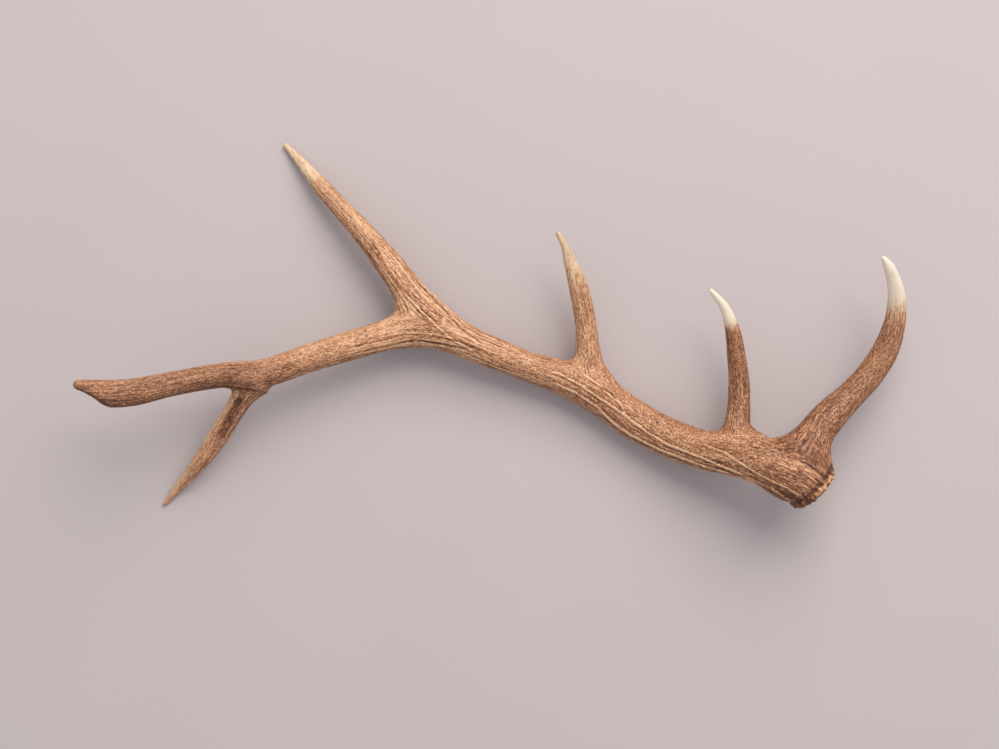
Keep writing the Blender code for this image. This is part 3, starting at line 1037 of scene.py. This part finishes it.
        # How far a pearl stands out: its base takes a painted shade, and it is darker towards -Y.
        crown = on_pearls * smooth(0.2, 5.4, to_beam) * (1 - 0.6 * smooth(*self.burr.darkened_span, points[:, 1]))
        fine = fine * (1 - seal) * (1 - 0.9 * on_pearls) + SEAL_GRIT * grit * seal
        swell = swell * (1 - seal)
        # Painted shade in the gaps between the pearls.
        tone = tone - 0.5 * self.burr.painted_gap_shade(points)
        face = smooth(-1.5, -0.3, self.end.beyond(points)) * (to_beam < 3) * (to_tines.min(axis=0) > 9)
        fine = fine * (1 - face) + face * END_GRIT * grit
        relief = np.clip(fine / FULL_RELIEF, -1, 1)
        return {
            "fine": fine,
            "swell": swell,
            "grain_beam": grain_beam,
            "grain_tine": grain_tine,
            "tine_share": tine_share,
            "tone": tone,
            "streaks": streaks,
            "ivory": ivory,
            "crown": crown,
            "seal": np.maximum(seal, 0.6 * face),
            "relief": relief,
        }

    def carve(self, mesh: bpy.types.Mesh, outward: Array) -> None:
        """Cuts the relief into the smooth antler.

        Args:
            mesh: The smooth antler.
            outward: The way out at each of its points.
        """
        points = corners_of(mesh)
        found = self.survey(points, outward)
        points = points + outward * (found["fine"] + found["swell"])[:, None]
        points[:, 2] = np.maximum(points[:, 2], MIDDLE[2])
        mesh.vertices.foreach_set("co", points.ravel())
        mesh.update()

    def mark(self, mesh: bpy.types.Mesh) -> None:
        """Writes the grain, tone and wear into the mesh, for its finish.

        Args:
            mesh: The mesh of the antler, in millimetres.
        """
        points = corners_of(mesh)
        outward = np.empty(len(points) * 3)
        mesh.vertex_normals.foreach_get("vector", outward)
        found = self.survey(points, outward.reshape(-1, 3))
        for name in ("grain_beam", "grain_tine"):
            layer = mesh.attributes.new(name, "FLOAT_VECTOR", "POINT")
            layer.data.foreach_set("vector", found[name].ravel())
        for name in ("tine_share", "tone", "streaks", "ivory", "crown", "seal", "relief"):
            layer = mesh.attributes.new(name, "FLOAT", "POINT")
            layer.data.foreach_set("value", found[name])

    def build(self) -> bpy.types.Object:
        """Grows, carves and dresses the antler.

        Returns:
            The antler, in metres.
        """
        self.burr.root(self.beam)
        smooth_antler, outward = self.grow()
        LOG.info("grown: %d faces", len(smooth_antler.polygons))
        self.carve(smooth_antler, outward)
        share = min(1, self.triangles / (2 * len(smooth_antler.polygons)))
        mesh = modified(smooth_antler, "DECIMATE", ratio=share)
        self.mark(mesh)
        mesh.transform(Matrix.Scale(MM, 4) @ Matrix.Translation(-Vector(MIDDLE)))
        mesh.shade_smooth()
        mesh.materials.clear()
        mesh.materials.append(self.finish.build())
        antler = bpy.data.objects.new("antler", mesh)
        bpy.context.scene.collection.objects.link(antler)
        return antler


@dataclass
class Studio:
    """The floor, the light and the camera.

    Attributes:
        eye: Where the camera is, looking straight down.
        lens: Its focal length in millimetres, on a sensor 36 mm wide.
        floor_half: Half the side of the floor.
        key_place: Where the soft key light is.
        key_size: How wide it is.
        key_power: How strong it is, in watts.
        sky: Colour of the light from all round.
        sky_strength: How strong that is.
        floor_finish: What the floor is painted with.
    """

    eye: tuple[float, float, float] = (0.00515, -0.06625, 3.0002)
    lens: float = 81.77
    floor_half: float = 8.0
    key_place: tuple[float, float, float] = (1.4, 3.2, 3.5)
    key_size: float = 4.0
    key_power: float = 285.0
    sky: Colour = (0.96, 0.97, 1.0)
    sky_strength: float = 0.66
    floor_finish: FloorFinish = field(default_factory=FloorFinish)

    def lay_floor(self) -> bpy.types.Object:
        """Makes the floor.

        Returns:
            The floor.
        """
        bm = bmesh.new()
        bmesh.ops.create_grid(bm, x_segments=8, y_segments=8, size=self.floor_half)
        mesh = bpy.data.meshes.new("floor")
        bm.to_mesh(mesh)
        bm.free()
        mesh.materials.append(self.floor_finish.build())
        floor = bpy.data.objects.new("floor", mesh)
        bpy.context.scene.collection.objects.link(floor)
        return floor

    def hang_lights(self) -> None:
        """Hangs the key light, and lights the rest from all round."""
        lamp = bpy.data.lights.new("key", "AREA")
        lamp.size = self.key_size
        lamp.energy = self.key_power
        lamp.color = (1.0, 0.95, 0.87)
        key = bpy.data.objects.new("key", lamp)
        key.location = self.key_place
        key.rotation_euler = (-Vector(self.key_place)).to_track_quat("-Z", "Y").to_euler()
        bpy.context.scene.collection.objects.link(key)
        world = bpy.data.worlds.new("soft_sky")
        world.use_nodes = True
        background = world.node_tree.nodes["Background"]
        background.inputs["Color"].default_value = (*self.sky, 1)
        background.inputs["Strength"].default_value = self.sky_strength
        bpy.context.scene.world = world

    def set_camera(self) -> None:
        """Sets the camera above the antler."""
        lens = bpy.data.cameras.new("camera")
        lens.lens = self.lens
        lens.clip_end = 60
        camera = bpy.data.objects.new("camera", lens)
        camera.location = self.eye
        bpy.context.scene.collection.objects.link(camera)
        bpy.context.scene.camera = camera

    def build(self) -> None:
        """Sets the whole studio up."""
        self.lay_floor()
        self.hang_lights()
        self.set_camera()
        bpy.context.scene.view_settings.view_transform = "Standard"


def make_beam() -> Branch:
    """The main beam, from the burr to its worn end."""
    stations = [
        (420, -210.5, 80.5, 63, 60), (404, -196, 85, 72, 62), (385, -187.5, 83, 74, 60),
        (360.5, -177.5, 76, 64, 57), (322, -167.5, 63, 56, 53), (279, -161, 46, 51, 51),
        (233, -145.2, 30.5, 51.5, 50), (198, -126.5, 25, 51, 49), (152.3, -96, 25, 49, 47),
        (101, -68.3, 26, 45, 44), (50, -52, 30, 39, 41), (-12, -28, 34, 42, 41),
        (-47, -13.3, 37, 45, 41), (-80, -9, 40, 39, 38), (-116, -9.5, 42, 40, 36),
        (-176, -24, 48, 38, 33), (-245, -46, 59, 37, 33), (-289, -61, 69, 36, 33),
        (-345, -64.3, 85, 32, 30), (-400, -74, 104, 31, 27), (-455, -86, 125, 35, 26),
        (-515.5, -87.3, 151, 35, 19.5),
    ]
    tones = (
        0.38, 0.43, 0.50, 0.54, 0.56, 0.56, 0.58, 0.59, 0.59,
        0.63, 0.63, 0.61, 0.58, 0.42, 0.32, 0.33, 0.32, 0.34,
    )
    pebbles = (0.8, 0.7, 0.7, 0.7, 0.7, 0.6, 0.5, 0.5, 0.5, 0.5)
    streaks = (0.9, 0.5, 0.2, 0.15, 0.15, 0.2, 0.25, 0.4, 0.9, 0.9, 0.5, 0.4, 0.4, 0.4, 0.5, 0.5, 0.5, 0.5)
    # Painted light and shade across the beam, from root to end.
    painted_side_light = (0, -0.06, -0.08, -0.08, -0.04, 0, 0.02, 0.03, 0.05, 0.06, 0.1, 0.15, 0.18, 0.18, 0.17, 0.17)
    return Branch("beam", stations, tones, pebbles, streaks, painted_side_light, girth=22)


def make_tines() -> list[Branch]:
    """The five tines, from the brow by the burr to the surroyal."""
    brow = [
        (384, -190, 84, 40, 44), (403, -168, 81, 48, 48), (420, -140.5, 75, 45.5, 45),
        (440, -117, 68, 43, 41), (467, -92, 60, 37, 35), (495, -63, 55, 35, 33),
        (514, -33, 56, 34, 31), (524, 3, 68, 28, 26), (524, 37, 85, 23, 21),
        (517, 59, 100, 18, 16), (508, 76, 113, 13, 12), (500, 86, 121, 5, 5),
    ]
    bez = [
        (355, -178, 70, 36, 36), (334.5, -157, 62, 43, 38), (323.5, -134, 54, 35, 31),
        (325, -109, 49, 30, 28), (326, -80, 47, 28, 27), (320.5, -38, 57, 24, 22),
        (316, -11, 66, 20, 18), (310, 8.5, 76, 16, 15), (301.5, 25, 86, 12, 11),
        (283, 45, 101, 5.5, 5.5),
    ]
    trez = [
        (172, -112, 26, 34, 34), (151, -87, 28, 37, 35), (134.5, -58, 31, 37, 32),
        (129, -31, 35, 32, 29), (127, -5, 39, 28, 27), (119, 38, 51, 26, 24),
        (111, 66, 61, 22, 20), (103.5, 86, 69, 15, 14), (98, 102, 76, 10, 10),
        (88, 119.5, 83, 6, 6),
    ]
    royal = [
        (-30, -15, 37, 32, 32), (-59, 4, 38, 39, 37), (-86, 25, 39, 40, 38),
        (-111, 55, 39, 39, 36), (-131, 82, 37, 36, 33), (-162, 119, 33, 30, 28),
        (-193, 153.5, 26, 25, 22), (-224, 188, 18, 20.5, 17), (-249.5, 218, 8.5, 13, 12),
        (-269.5, 240.5, 2.9, 6.5, 6.5),
    ]
    surroyal = [
        (-270, -59.5, 64.5, 17, 17), (-296, -69, 62, 29, 28), (-312.5, -85, 58, 29.5, 28),
        (-332.5, -112, 49, 27, 26), (-353, -143.5, 38, 26, 24), (-382.5, -182.5, 24, 20.5, 19),
        (-392, -194, 18, 17.5, 15), (-408.5, -210.5, 8.7, 12.5, 11), (-429.5, -235.5, 2.1, 5, 5),
    ]
    # Each tine's fourth tuple is its painted light and shade across it, lighter on the side that faces the
    # key light.
    return [
        Branch(
            "brow_tine", brow, (0.38, 0.40, 0.38, 0.40, 0.48, 0.66, 0.7), (0.7, 0.8, 0.9, 0.8, 0.5, 0.1, 0),
            (0.9, 0.6, 0.3, 0.2, 0.3, 0.8, 0.6), (0,), 18, 36, 30, TipWear.IVORY, (50, 120),
        ),
        Branch(
            "bez_tine", bez, (0.44, 0.42, 0.41, 0.42, 0.5, 0.6), (0.7, 0.8, 0.8, 0.5, 0.1, 0),
            (0.5, 0.4, 0.4, 0.4, 0.5, 0.6), (0,), 14, 20, 13, TipWear.IVORY, (45, 78),
        ),
        Branch(
            "trez_tine", trez, (0.56, 0.62, 0.67, 0.63, 0.60, 0.62), (0.4, 0.5, 0.5, 0.4, 0.1, 0),
            (0.4, 0.4, 0.5, 0.5, 0.5, 0.5), (0,), 15, 22, 45, TipWear.CREAM, (38, 120),
        ),
        Branch(
            "royal_tine", royal, (0.60, 0.63, 0.64, 0.64, 0.63, 0.65), (0.4, 0.4, 0.4, 0.3, 0.1, 0),
            (1.0, 1.0, 0.8, 0.7, 0.8, 0.7), (0, 0.04, 0.1, 0.1, 0.1, 0.05), 17, 44, 65,
            TipWear.CREAM, (55, 95),
        ),
        Branch(
            "surroyal_tine", surroyal, (0.40, 0.53, 0.66, 0.72, 0.80, 0.76), (0.3, 0.3, 0.3, 0.2, 0.1, 0),
            (0.6, 0.6, 0.6, 0.6, 0.6, 0.6), (0.04, 0.2, 0.38, 0.38, 0.34, 0.22), 14, 28, 32,
            TipWear.STAINED, (10, 60),
        ),
    ]


def make_veins() -> list[Vein]:
    """The long veins of the lower beam, and the flutes round the royal's crotch."""
    long_vein = (
        (74, -58), (91, -62), (116, -75), (144, -94), (173, -113), (205, -138),
        (230, -153), (273, -170), (328, -193), (361, -209), (390, -228),
    )
    lower_vein = (
        (79, -72), (111, -86), (139, -104), (164, -128), (186, -143),
        (222, -161), (273, -180), (329, -196), (354, -209),
    )
    trez_vein = ((118, -59), (144, -78), (170, -101), (178, -113))
    burr_vein = ((276, -153), (304, -164), (329, -181), (353, -195), (386, -211), (399, -219))
    side_vein = ((130, -71), (159, -88), (175, -111))
    royal_edge = ((-167, -34), (-135, -27), (-96, -18), (-64, -23), (-25, -31))
    royal_inner = ((-186, -30), (-148, -21), (-109, -11), (-70, -14), (-31, -22))
    royal_flute = ((-12, -38), (-51, -16), (-83, 14), (-115, 47))
    royal_flute_above = ((1, -29), (-35, -5), (-70, 34), (-96, 60))
    return [
        Vein(long_vein, 1.1, 1.2),
        Vein(lower_vein, 1.0, 1.2),
        Vein(trez_vein, 0.8, 1.1),
        Vein(burr_vein, 0.9, 1.2),
        Vein(side_vein, -0.8, 1.1),
        Vein(royal_edge, -0.8, 1.1),
        Vein(royal_inner, -0.7, 1.0),
        Vein(royal_flute, 0.8, 1.1),
        Vein(royal_flute_above, -0.8, 1.1),
    ]


def make_patches() -> list[Patch]:
    """The pale worn patches, the dark stains, a dark patch by the burr's low side, and a painted shade along
    the brow's inner edge.
    """
    return [
        Patch((126, -62), (140, -72), 16, 0.1),
        Patch((275, -142), (360, -146), 10, 0.12),
        Patch((-128, 2), (-106, 0), 22, 0.12),
        Patch((-92, 16), (-66, 9), 9, -0.12),
        Patch((-330, -57), (-256, -52), 9, -0.12),
        Patch((-327, -87), (-372, -147), 8, 0.3),
        Patch((-324, -98), (-347, -140), 9, -0.34),
        # Darker by the burr's low side.
        Patch((379, -226), (408, -232), 14, -0.2),
        # Painted shade along the brow's inner edge.
        Patch((398, -150), (470, -70), 8, -0.08),
    ]


def main() -> None:
    """Builds the antler and the studio, and reports each."""
    logging.basicConfig(level=logging.INFO, format="%(name)s: %(message)s")
    shape = Antler(
        beam=make_beam(),
        tines=make_tines(),
        burr=Burr(),
        end=WornEnd(),
        veins=make_veins(),
        patches=make_patches(),
        relief=Relief(),
        finish=BoneFinish(),
    )
    antler = shape.build()
    for branch in (shape.beam, *shape.tines):
        LOG.info("%s: %.0f mm along its core", branch.name, branch.length)
    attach(antler, "root")
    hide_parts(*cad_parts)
    LOG.info("antler: %d triangles", len(antler.data.polygons))
    Studio().build()
    LOG.info("studio: floor, light and camera")


if __name__ == "__main__":
    main()
